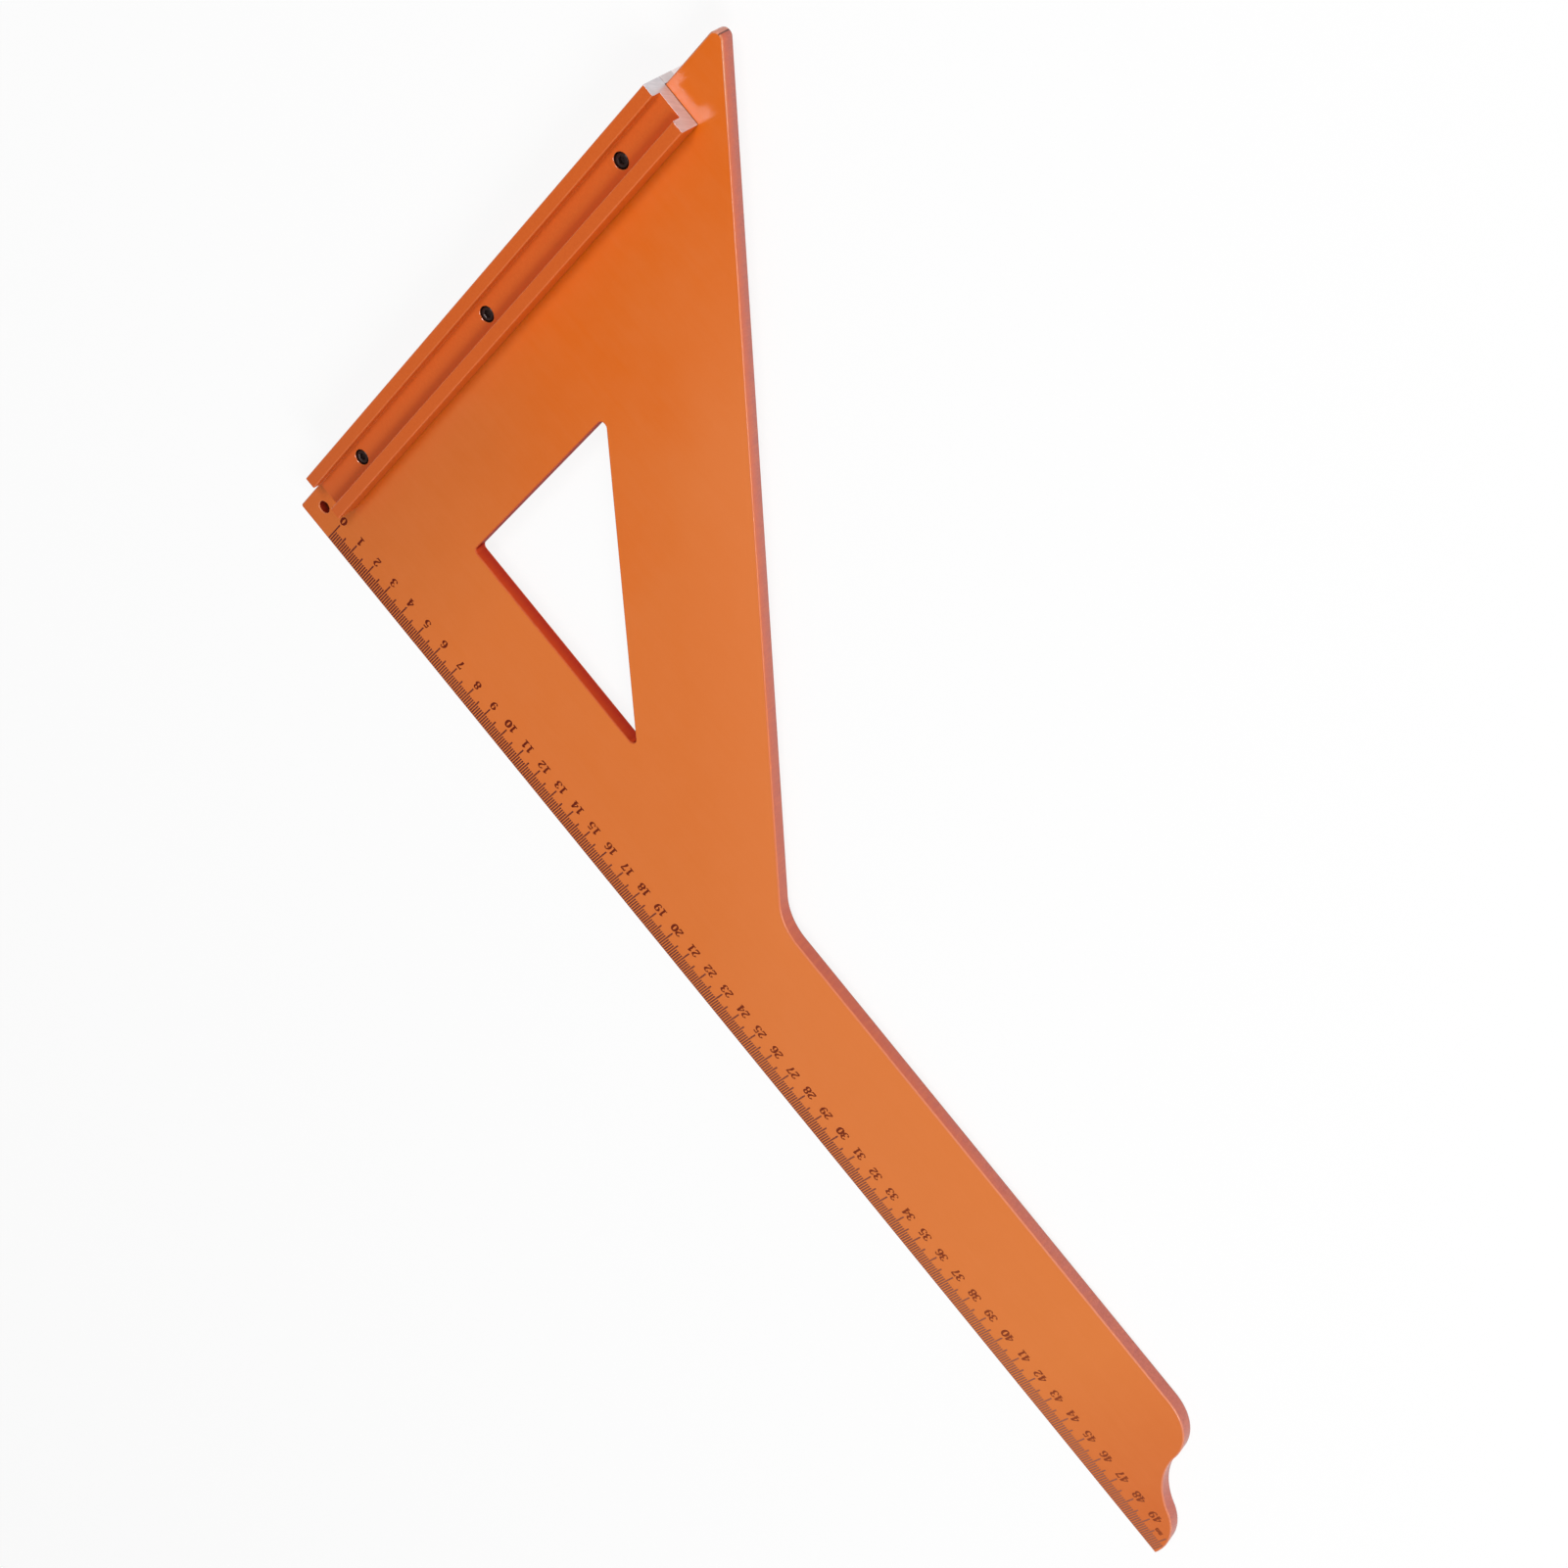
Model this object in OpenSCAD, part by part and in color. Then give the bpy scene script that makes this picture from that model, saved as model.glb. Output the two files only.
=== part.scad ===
// Woodworking triangle ruler: a 45 degree plate with a long scale arm, and a double-sided
// fence of two bars, clamped on its short edge by three cap screws.
// Frame: the origin is the zero of the scale, on the printed face at the scale edge. +X runs along
// the scale, +Y runs along the fence away from the scale edge, and +Z points up out of the face.

/* [Blade] */
// Length of the scale edge, from the short edge to the end of the nose
blade_l = 520.2; // [490:0.1:600]
// Thickness of the blade
blade_t = 6; // [4:0.1:10]
// Leg of the 45 degree triangle, up to its sharp corner
leg = 298.4; // [285:0.1:330]
// Width of the three bands round the window
band_w = 59.6; // [45:0.1:65]
// Width of the arm past the triangle
arm_w = 60.4; // [50:0.1:75]
// Radius of the right-angled corner beside the zero
corner_r = 1; // [0.5:0.1:4]
// Radius of the pointed tip at the far end of the short edge
tip_r = 2.8; // [1:0.1:5]
// Radius in the elbow between the hypotenuse and the arm
elbow_r = 24; // [5:0.5:40]
// Radius in the corners of the window
window_r = 2; // [0.5:0.1:4]

/* [Arm end] */
// Radius of the nose, centred on the scale edge
nose_r = 22.5; // [18:0.5:28]
// Radius of the hollow between the nose and the shoulder
hollow_r = 32.5; // [20:0.5:40]
// Radius of the shoulder
shoulder_r = 21.5; // [15:0.5:28]
// Distance from the end of the nose back to the centre of the shoulder
shoulder_back = 54; // [48:0.5:65]

/* [Hanging hole] */
// Diameter of the hole beside the zero
hole_d = 5; // [3:0.1:7]
// Distance of the hole from the short edge
hole_from_short = 7.3; // [6:0.1:12]
// Distance of the hole from the scale edge
hole_from_scale = 9.8; // [6:0.1:14]

/* [Fence] */
// Length of the fence's two bars
fence_l = 243.5; // [200:0.5:260]
// Distance from the scale edge to the near end of the fence
fence_from_scale = 22.5; // [18:0.1:30]
// Width of the channel on each side of the fence
channel_w = 10; // [7.5:0.1:14]
// Thickness of each lip beside the channel
lip_t = 4.7; // [3:0.1:7]
// Height of the lips above the channel's floor
lip_h = 4; // [2:0.1:6]
// Thickness of the web between the channel and the blade
web_t = 5; // [4.5:0.1:8]
// Thickness of the lower bar's wall behind the blade's short edge
back_wall = 3; // [2:0.1:5]
// Edge break along the lips
lip_break = 0.4; // [0.1:0.1:1]
// Gap between the blade and each bar, and between the two bars
slot_clear = 0.05; // [0.02:0.01:0.1]

/* [Screws] */
// Diameter of the screw's head
head_d = 5.5; // [4.5:0.1:6.5]
// Height of the screw's head
head_h = 3; // [2:0.1:3.5]
// Depth of the head below the channel's floor
head_sink = 0.3; // [0.1:0.1:0.8]
// Diameter of the shank
shank_d = 3; // [2.5:0.1:4]
// Length of thread held in the lower web
thread_in = 4.2; // [3:0.1:4.4]
// Width across the flats of the hex socket
socket_af = 2.5; // [2:0.1:3]
// Depth of the hex socket
socket_depth = 1.5; // [1:0.1:1.8]
// Edge break on the head and on the end of the shank
screw_break = 0.3; // [0.1:0.1:0.5]
// Radial gap between the head and its counterbore
head_clear = 0.3; // [0.1:0.05:0.5]
// Radial gap between the shank and the holes that it passes through
shank_clear = 0.2; // [0.1:0.05:0.4]
// Radial gap between the shank and its tapped hole
thread_clear = 0.05; // [0.02:0.01:0.1]
// Distance of the first screw from the fence's near end
first_screw = 27.3; // [15:0.1:40]
// Distance of the last screw from the fence's far end
last_screw = 29.9; // [15:0.1:40]
// Offset of the middle screw from halfway between the other two
mid_offset = 3; // [-10:0.1:10]

/* [Hidden] */
$fn = 96;
// Overshoot of a cut past the face that it opens
past = 1;
// Rounds and hollows reach this far past the runs that they touch, so that the two always cross
bite = 0.01;

// Section of the fence's bars, in X and Z
fence_w = channel_w + 2 * lip_t;
slot_depth = fence_w - back_wall;
back_x = -fence_w;
short_x = -slot_depth;
channel_x = -fence_w / 2;
floor_z = slot_clear + web_t;
top_z = floor_z + lip_h;
mid_z = -blade_t / 2;

// Places along the screws, and along the fence
seat_z = floor_z - head_sink - head_h;
lower_web_z = -blade_t - slot_clear;
shank_end_z = lower_web_z - thread_in;
first_y = fence_from_scale + first_screw;
last_y = fence_from_scale + fence_l - last_screw;
mid_y = (first_y + last_y) / 2 + mid_offset;
screw_ys = [first_y, mid_y, last_y];

// Outline of the blade, measured from the corner of its short edge and its scale edge
diag = [cos(45), sin(45)];
nose_c = [blade_l - nose_r, 0];
shoulder_c = [blade_l - shoulder_back, arm_w - shoulder_r];
tip_c = [tip_r, leg - tip_r * (1 + sqrt(2))];
elbow_run = elbow_r * tan(22.5);
elbow_corner = [leg - arm_w, arm_w];
elbow_c = elbow_corner + [elbow_run, elbow_r];
elbow_on_hyp = elbow_corner + elbow_run * [-diag[0], diag[1]];

// The hollow touches the shoulder and the nose, so its centre lies where their reaches cross
shoulder_reach = shoulder_r + hollow_r;
nose_reach = nose_r + hollow_r;
apart = norm(nose_c - shoulder_c);
toward = (nose_c - shoulder_c) / apart;
along = (shoulder_reach^2 - nose_reach^2 + apart^2) / (2 * apart);
aside = sqrt(shoulder_reach^2 - along^2);
hollow_c = shoulder_c + along * toward + aside * [-toward[1], toward[0]];

// Legs of the window, and the centres of its rounded corners
window_leg = leg - band_w * (2 + sqrt(2));
window_near = band_w + window_r;
window_far = band_w + window_leg - window_r * (1 + sqrt(2));

module disc(centre, r) {
    translate(centre) circle(r);
}

// The blade's outer edge: straight runs as a polygon, its round ends added and its hollows cut away
module blade_outline() {
    difference() {
        union() {
            polygon([
                [corner_r, 0],
                nose_c,
                hollow_c,
                shoulder_c,
                [shoulder_c[0], arm_w],
                [elbow_c[0], arm_w],
                elbow_c,
                elbow_on_hyp,
                tip_c + tip_r * diag,
                [0, tip_c[1]],
                [0, corner_r]
            ]);
            intersection() {
                disc(nose_c, nose_r);
                translate([nose_c[0] - nose_r, 0]) square([2 * nose_r, nose_r]);
            }
            disc(shoulder_c, shoulder_r + bite);
            disc(tip_c, tip_r + bite);
            disc([corner_r, corner_r], corner_r);
        }
        disc(hollow_c, hollow_r + bite);
        disc(elbow_c, elbow_r + bite);
    }
}

// The triangular window, with a rounded corner at each end of its three sides
module window_outline() {
    polygon([
        [window_near, band_w],
        [window_far, band_w],
        [window_far, window_near] + window_r * diag,
        [window_near, window_far] + window_r * diag,
        [band_w, window_far],
        [band_w, window_near]
    ]);
    disc([window_near, window_near], window_r + bite);
    disc([window_far, window_near], window_r + bite);
    disc([window_near, window_far], window_r + bite);
}

module at_screw(y) {
    translate([channel_x, y, 0]) children();
}

module bore(r, low_z, high_z) {
    translate([0, 0, low_z]) cylinder(h = high_z - low_z, r = r);
}

module blade() {
    color([0.86, 0.46, 0.22])
    difference() {
        translate([short_x, 0, -blade_t]) linear_extrude(blade_t) difference() {
            blade_outline();
            window_outline();
        }
        translate([short_x + hole_from_short, hole_from_scale, 0]) bore(hole_d / 2, -blade_t - past, past);
        for (y = screw_ys) at_screw(y) bore(shank_d / 2 + shank_clear, -blade_t - past, past);
    }
}

// The channel side of a bar, from its outside round to the edge that lies on the blade
function channel_side() = [
    [back_x, top_z - lip_break],
    [back_x + lip_break, top_z],
    [back_x + lip_t - lip_break, top_z],
    [back_x + lip_t, top_z - lip_break],
    [back_x + lip_t, floor_z],
    [-lip_t, floor_z],
    [-lip_t, top_z - lip_break],
    [-lip_t + lip_break, top_z],
    [-lip_break, top_z],
    [0, top_z - lip_break],
    [0, slot_clear]
];

// The same points mirrored in the blade's middle plane, listed backwards so that an outline closes
function mirrored(points) = [
    for (i = [len(points) - 1 : -1 : 0]) [points[i][0], 2 * mid_z - points[i][1]]
];

module bar(section) {
    translate([0, fence_from_scale + fence_l, 0]) rotate([90, 0, 0]) linear_extrude(fence_l) polygon(section);
}

// The lower bar carries the blade's short edge in a step, and its wall reaches up to the printed face
module fence_lower() {
    step_x = short_x - slot_clear;
    wall = [[back_x, 0], [step_x, 0], [step_x, lower_web_z]];
    color([0.8, 0.38, 0.16])
    difference() {
        bar(concat(wall, mirrored(channel_side())));
        for (y = screw_ys) at_screw(y) bore(shank_d / 2 + thread_clear, lower_web_z - web_t - past, mid_z);
    }
}

// The upper bar lies flat on the blade and on the lower bar's wall
module fence_upper() {
    color([0.82, 0.4, 0.17])
    difference() {
        bar(concat(channel_side(), [[back_x, slot_clear]]));
        for (y = screw_ys) at_screw(y) {
            bore(head_d / 2 + head_clear, seat_z, floor_z + past);
            bore(shank_d / 2 + shank_clear, -past, floor_z);
        }
    }
}

// A hex socket cap screw, turned from one profile, standing with its head under the channel's floor
module cap_screw(y) {
    head_top = seat_z + head_h;
    color([0.1, 0.1, 0.11])
    at_screw(y) difference() {
        rotate_extrude() polygon([
            [0, shank_end_z],
            [shank_d / 2 - screw_break, shank_end_z],
            [shank_d / 2, shank_end_z + screw_break],
            [shank_d / 2, seat_z],
            [head_d / 2, seat_z],
            [head_d / 2, head_top - screw_break],
            [head_d / 2 - screw_break, head_top],
            [0, head_top]
        ]);
        translate([0, 0, head_top - socket_depth])
            cylinder(h = socket_depth + past, d = socket_af / cos(30), $fn = 6);
    }
}

module screw_low() {
    cap_screw(first_y);
}

module screw_mid() {
    cap_screw(mid_y);
}

module screw_high() {
    cap_screw(last_y);
}

blade();
fence_lower();
fence_upper();
screw_low();
screw_mid();
screw_high();
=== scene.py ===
from math import atan2, cos, degrees, pi, radians, sin, sqrt, tan

import bmesh
import bpy
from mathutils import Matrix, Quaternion, Vector
from mathutils.geometry import tessellate_polygon


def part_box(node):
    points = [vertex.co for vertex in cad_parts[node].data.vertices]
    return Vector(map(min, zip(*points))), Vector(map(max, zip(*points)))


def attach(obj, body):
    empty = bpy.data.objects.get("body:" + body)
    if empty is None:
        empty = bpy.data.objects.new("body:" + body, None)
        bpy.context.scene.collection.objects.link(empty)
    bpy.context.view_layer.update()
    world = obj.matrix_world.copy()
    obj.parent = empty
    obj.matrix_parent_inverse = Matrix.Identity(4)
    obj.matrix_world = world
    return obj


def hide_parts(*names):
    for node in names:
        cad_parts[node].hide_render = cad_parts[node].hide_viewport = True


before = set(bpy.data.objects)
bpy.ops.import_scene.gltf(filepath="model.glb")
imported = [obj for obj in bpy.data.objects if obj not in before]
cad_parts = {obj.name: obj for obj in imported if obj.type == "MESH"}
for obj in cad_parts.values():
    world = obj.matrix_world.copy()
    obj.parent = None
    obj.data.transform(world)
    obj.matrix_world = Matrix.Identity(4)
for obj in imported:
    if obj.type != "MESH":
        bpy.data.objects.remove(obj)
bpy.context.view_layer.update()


# Blade
# One aluminium plate, milled to a 45 degree triangle that runs on as a long arm, with its edges broken.
# It is dyed orange in the anodising bath. Its milled walls are pinker than its rolled faces, a pink that is
# partly painted sheen, and the walls of its window and of its holes are a deep red that is painted shade.
MM = 0.001
blade_low, blade_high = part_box("blade")
face_z = blade_high.z
blade_t = blade_high.z - blade_low.z
nose_end = blade_high.x
short_x = -16.4 * MM
leg = 298.4 * MM
band_w = 59.6 * MM
arm_w = 60.4 * MM
corner_r = 1 * MM
tip_r = 2.8 * MM
elbow_r = 24 * MM
window_r = 2 * MM
nose_r = 22.5 * MM
hollow_r = 32.5 * MM
shoulder_r = 21.5 * MM
shoulder_back = 54 * MM
edge_break = 0.55 * MM
window_break_share = 0.6
hole_break_share = 0.4
witness_x = -13.85 * MM
hang_hole = Vector((-9.1, 9.8)) * MM
hang_hole_r = 2.5 * MM
screw_x = -9.7 * MM
screw_ys = (49.8 * MM, 145.95 * MM, 236.1 * MM)
blade_screw_hole_r = 1.7 * MM


def arc(centre, radius, start, end, steps):
    """Points round an arc, from one angle in degrees to another."""
    turns = [radians(start + (end - start) * i / steps) for i in range(steps + 1)]
    return [Vector((centre[0] + radius * cos(turn), centre[1] + radius * sin(turn))) for turn in turns]


def ring_hole(centre, radius, steps):
    """A hole's loop, which runs clockwise so that the metal lies on its left."""
    return arc(centre, radius, 360, 0, steps)[:-1]


def bearing(start, end):
    """The angle in degrees at which one point sees another."""
    return degrees(atan2(end[1] - start[1], end[0] - start[0]))


def inset_loop(loop, inset):
    """A loop moved into the metal on its left by the same amount all round."""
    moved = []
    for i, point in enumerate(loop):
        before = (point - loop[i - 1]).normalized()
        after = (loop[(i + 1) % len(loop)] - point).normalized()
        side_before = Vector((-before.y, before.x))
        side_after = Vector((-after.y, after.x))
        corner = (side_before + side_after) / (1 + side_before.dot(side_after))
        moved.append(point + corner * inset)
    return moved


def prism(name, loops, rings, place):
    """A closed solid whose loops run through rings of inset, depth and the part that leads to the next ring.

    Each loop comes with its share of the inset: the outline first, then a window, then any drilled holes.
    A side is marked as an edge break or a wall. Other marks tell the sides of any hole, the walls of the
    drilled ones, and the window's rim, which is left dull."""
    mesh = bmesh.new()
    parts = ("edge_break", "wall", "hole", "bore", "dull_rim")
    marks = {part: mesh.faces.layers.float.new(part) for part in parts}
    levels = []
    for inset, depth, part in rings:
        flat = [inset_loop(loop, inset * share) for loop, share in loops]
        levels.append([[mesh.verts.new(place(p.x, p.y, depth)) for p in loop] for loop in flat])
    for level in (0, len(rings) - 1):
        flat = [inset_loop(loop, rings[level][0] * share) for loop, share in loops]
        corners = [vert for loop in levels[level] for vert in loop]
        for triangle in tessellate_polygon([[p.to_3d() for p in loop] for loop in flat]):
            mesh.faces.new([corners[i] for i in triangle])
    for (inset, depth, part), lower, upper in zip(rings, levels, levels[1:]):
        for number, (loop, above) in enumerate(zip(lower, upper)):
            for i in range(len(loop)):
                j = (i + 1) % len(loop)
                side = mesh.faces.new((loop[i], loop[j], above[j], above[i]))
                side[marks[part]] = 1
                side[marks["hole"]] = float(number > 0)
                side[marks["bore"]] = float(number > 1 and part == "wall")
                side[marks["dull_rim"]] = float(number == 1 and part == "edge_break")
    bmesh.ops.recalc_face_normals(mesh, faces=mesh.faces)
    data = bpy.data.meshes.new(name)
    mesh.to_mesh(data)
    mesh.free()
    piece = bpy.data.objects.new(name, data)
    bpy.context.collection.objects.link(piece)
    return piece


def applied(piece, modifier):
    """Turns a piece and its modifier into a plain mesh."""
    view = bpy.context.evaluated_depsgraph_get()
    data = bpy.data.meshes.new_from_object(piece.evaluated_get(view), depsgraph=view)
    piece.modifiers.remove(modifier)
    piece.data = data


def shade_evenly(piece, sharpest=40):
    """Smooth shading in which flats stay flat, and the narrow edge breaks beside them take the turn.

    An edge that turns by more than the sharpest angle, in degrees, stays crisp."""
    piece.data.shade_smooth()
    piece.data.set_sharp_from_angle(angle=radians(sharpest))
    weighting = piece.modifiers.new("Weighting", "WEIGHTED_NORMAL")
    weighting.keep_sharp = True
    applied(piece, weighting)


def break_rings(low, high, size, steps=3):
    """Rings of a slab between two depths, with both of its rims rounded over."""
    rings = []
    for i in range(steps + 1):
        turn = pi / 2 * i / steps
        rings.append((size * (1 - sin(turn)), low + size * (1 - cos(turn)), "edge_break"))
    rings[-1] = rings[-1][:2] + ("wall",)
    for i in range(steps + 1):
        turn = pi / 2 * i / steps
        rings.append((size * (1 - cos(turn)), high - size * (1 - sin(turn)), "edge_break"))
    return rings


# The round nose and the shoulder are joined by a hollow that touches both
nose_c = Vector((nose_end - nose_r, 0))
shoulder_c = Vector((nose_end - shoulder_back, arm_w - shoulder_r))
nose_reach = nose_r + hollow_r
shoulder_reach = shoulder_r + hollow_r
apart = nose_c - shoulder_c
along = (shoulder_reach ** 2 - nose_reach ** 2 + apart.length_squared) / (2 * apart.length)
aside = sqrt(shoulder_reach ** 2 - along ** 2)
toward = apart.normalized()
hollow_c = shoulder_c + along * toward + aside * Vector((-toward.y, toward.x))
tip_c = Vector((short_x + tip_r, leg - tip_r * (1 + sqrt(2))))
elbow_c = Vector((short_x + leg - arm_w + elbow_r * tan(radians(22.5)), arm_w + elbow_r))
outer_edge = (
    arc((short_x + corner_r, corner_r), corner_r, 180, 270, 8)
    + arc(nose_c, nose_r, 0, bearing(nose_c, hollow_c), 40)
    + arc(hollow_c, hollow_r, bearing(hollow_c, nose_c) + 360, bearing(hollow_c, shoulder_c) + 360, 40)[1:]
    + arc(shoulder_c, shoulder_r, bearing(shoulder_c, hollow_c), 90, 40)[1:]
    + arc(elbow_c, elbow_r, 270, 225, 32)
    + arc(tip_c, tip_r, 45, 180, 24)
)
window_leg = leg - band_w * (2 + sqrt(2))
window_near = band_w + window_r
window_far = band_w + window_leg - window_r * (1 + sqrt(2))
window_edge = (
    arc((short_x + window_near, window_near), window_r, 270, 180, 8)
    + arc((short_x + window_near, window_far), window_r, 180, 45, 12)
    + arc((short_x + window_far, window_near), window_r, 45, -90, 12)
)
blade_loops = [(outer_edge, 1), (window_edge, window_break_share)]
blade_loops.append((ring_hole(hang_hole, hang_hole_r, 48), hole_break_share))
for screw_y in screw_ys:
    blade_loops.append((ring_hole((screw_x, screw_y), blade_screw_hole_r, 32), hole_break_share))
blade = prism(
    "blade_plate",
    blade_loops,
    break_rings(face_z - blade_t, face_z, edge_break),
    lambda a, b, depth: (a, b, depth),
)
shade_evenly(blade)

# Over these depths the tone of a wall runs from its foot to its top
wall_span = (face_z - 0.7 * blade_t, face_z - 0.1 * blade_t)


def srgb(red, green, blue):
    """A colour as a colour picker shows it, 0 to 255, as a shader takes it."""
    shares = [value / 255 for value in (red, green, blue)]
    return (*[s / 12.92 if s <= 0.04045 else ((s + 0.055) / 1.055) ** 2.4 for s in shares], 1)


class Wire:
    """The output of a shader node, with the arithmetic that the finishes use."""

    def __init__(self, tree, output):
        self.tree = tree
        self.output = output

    def node(self, kind, settings, sockets, result=0):
        """Adds a node: its settings first, then the values or wires of its sockets."""
        made = self.tree.nodes.new(kind)
        for name, value in settings.items():
            setattr(made, name, value)
        for key, value in sockets.items():
            if isinstance(value, Wire):
                self.tree.links.new(value.output, made.inputs[key])
            else:
                made.inputs[key].default_value = value
        return Wire(self.tree, made.outputs[result])

    def maths(self, operation, *terms):
        return self.node("ShaderNodeMath", {"operation": operation}, dict(enumerate(terms)))

    def __add__(self, other):
        return self.maths("ADD", self, other)

    def __sub__(self, other):
        return self.maths("SUBTRACT", self, other)

    def __rsub__(self, other):
        return self.maths("SUBTRACT", other, self)

    def __mul__(self, other):
        return self.maths("MULTIPLY", self, other)

    __radd__ = __add__
    __rmul__ = __mul__

    def at_least(self, low):
        return self.maths("MAXIMUM", self, low)

    def at_most(self, high):
        return self.maths("MINIMUM", self, high)

    def unsigned(self):
        """How far this wire is from 0, on either side."""
        return self.maths("ABSOLUTE", self)

    def between(self, low, high):
        """0 below the low value, 1 above the high one, and a straight run between them."""
        sockets = {"Value": self, "From Min": low, "From Max": high}
        return self.node("ShaderNodeMapRange", {"clamp": True}, sockets)

    def blend(self, first, second):
        """One colour where this wire is 0, the other where it is 1."""
        return self.node("ShaderNodeMix", {"data_type": "RGBA"}, {0: self, 6: first, 7: second}, 2)

    def stretched(self, scales):
        """These coordinates with each axis scaled on its own."""
        return self.node("ShaderNodeMapping", {}, {"Vector": self, "Scale": scales})

    def noise(self, scale, detail=2.0, roughness=0.5):
        """Noise over these coordinates, with this many lumps to a metre."""
        sockets = {"Vector": self, "Scale": scale, "Detail": detail, "Roughness": roughness}
        return self.node("ShaderNodeTexNoise", {}, sockets)

    def mark(self, name):
        """A mark that the mesh carries on its faces."""
        return self.node("ShaderNodeAttribute", {"attribute_name": name}, {}, 2)

    def axes(self):
        """The X, Y and Z of these coordinates."""
        split = self.node("ShaderNodeSeparateXYZ", {}, {0: self})
        return [Wire(self.tree, output) for output in split.output.node.outputs]


def new_finish(name):
    """A material, its shader and the piece's own coordinates."""
    material = bpy.data.materials.new(name)
    material.use_nodes = True
    shader = material.node_tree.nodes["Principled BSDF"]
    texture_place = material.node_tree.nodes.new("ShaderNodeTexCoord")
    return material, shader, Wire(material.node_tree, texture_place.outputs["Object"])


def feed(shader, **sockets):
    """Links wires to the shader's sockets, and sets its plain values."""
    for name, value in sockets.items():
        socket = shader.inputs[name.replace("_", " ")]
        if isinstance(value, Wire):
            value.tree.links.new(value.output, socket)
        else:
            socket.default_value = value


def bumped(place, height, strength, distance):
    """A normal raised by a height, in metres at most."""
    return place.node("ShaderNodeBump", {}, {"Height": height, "Strength": strength, "Distance": distance})


def anodised(name, face, wall, rim):
    """Dyed aluminium with a satin grain, from functions that give the tones of its faces, walls and rims."""
    material, shader, place = new_finish(name)
    grain = place.noise(3200, 3, 0.6)
    milled = place.stretched((1, 1, 0.15)).noise(900, 2).between(0.3, 0.75)
    rim_wear_and_highlight = place.noise(140, 3).between(0.25, 0.6)
    speckle = place.noise(1500, 2).between(0.35, 0.7)
    walls = place.mark("wall")
    bores = place.mark("bore")
    colour = face(place)
    colour = (walls * (0.8 + milled * 0.2)).blend(colour, wall(place, speckle))
    # Rims take the rim tone in patches: partly wear, partly painted highlight.
    colour = (place.mark("edge_break") * (0.5 + rim_wear_and_highlight * 0.3 + speckle * 0.2)).blend(colour, rim(place))
    # Bores are near black: painted shade in the drilled holes and along the slot's joint.
    feed(
        shader,
        Base_Color=bores.blend(colour, srgb(50, 22, 17)),
        Roughness=0.21 + grain * 0.06 + walls * 0.12 + bores * 0.2 + place.mark("dull_rim") * 0.5,
        Normal=bumped(place, grain + milled * walls * 0.6, 0.06, 0.02 * MM),
        Specular_IOR_Level=0.5,
    )
    return material


def plate_tone(place):
    """Deeper orange along the fence's far half, paler towards the hypotenuse and along the arm, with painted
    shade beside the fence's near half and painted bounce light at its foot and past its near end.
    """
    x, y, z = place.axes()
    clouds = place.noise(14, 3).between(0.3, 0.7)
    blotches = place.noise(75, 4, 0.6).between(0.35, 0.7)
    streaks = place.stretched((0.06, 1, 1)).noise(420, 2).between(0.3, 0.7)
    near_half = (105 * MM - y).at_least(0.0)
    off_fence = (x + near_half * 0.9 + clouds * (50 * MM)).between(40 * MM, 120 * MM)
    colour = off_fence.blend(srgb(218, 100, 2), srgb(219, 114, 43))
    to_hypotenuse = leg + short_x - x - y
    by_hypotenuse = (1 - to_hypotenuse.between(0.0, 50 * MM)) * (1 - y.between(190 * MM, 260 * MM))
    colour = (by_hypotenuse * 0.7).blend(colour, srgb(224, 122, 58))
    colour = x.between(120 * MM, 420 * MM).blend(colour, srgb(216, 119, 52))
    colour = x.between(420 * MM, 490 * MM).blend(colour, srgb(205, 103, 42))
    # Painted shade: darker beside the near half of the fence.
    by_fence = (1 - x.between(0.0, 70 * MM)) * (1 - y.between(100 * MM, 160 * MM))
    colour = by_fence.blend(colour, srgb(204, 104, 36))
    # Painted bounce light: redder and brighter in the fence's shade along its foot.
    by_foot = by_fence * (1 - x.between(1 * MM, 4 * MM)) * y.between(13 * MM, 18 * MM)
    colour = by_foot.blend(colour, srgb(217, 102, 18))
    # Painted bounce light: redder in the fence's shade past its near end.
    by_corner = (1 - x.between(-13 * MM, 0.0)) * (1 - y.between(14 * MM, 40 * MM))
    colour = by_corner.blend(colour, srgb(203, 95, 26))
    return (blotches * 0.1 + streaks * 0.06).blend(colour, srgb(226, 128, 70))


def witnessed(x, y, colour):
    """A wall's tone with the dark line that a rack left across the blade's tip in the dye bath, and a pale
    patch of painted highlight on the tip's wall behind that line.
    """
    aside = x - witness_x
    at_tip = y.between(leg - 6 * MM, leg - 5 * MM)
    line = 1 - aside.unsigned().between(0.16 * MM, 0.32 * MM)
    behind = 1 - aside.between(-0.4 * MM, 0.0)
    # Painted highlight: the pale patch on the tip's wall behind the line.
    colour = (at_tip * behind * 0.6).blend(colour, srgb(214, 150, 128))
    return (at_tip * line).blend(colour, srgb(84, 38, 30))


def plate_wall_tone(place, speckle):
    """A milled wall: pink that is partly painted sheen and pinker towards its foot, more orange towards the
    hypotenuse's top, and deeper near the elbow.
    """
    x, y, z = place.axes()
    level = z.between(*wall_span)
    # Painted sheen: part of the pink, strongest at the wall's foot.
    pink = speckle.blend(srgb(168, 86, 73), srgb(182, 98, 87))
    colour = (level * (1 - x.between(250 * MM, 400 * MM) * 0.9)).blend(pink, srgb(202, 92, 56))
    by_elbow = x.between(100 * MM, 220 * MM) * (1 - x.between(260 * MM, 360 * MM))
    return witnessed(x, y, (by_elbow * 0.8).blend(colour, srgb(176, 76, 54)))


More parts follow.
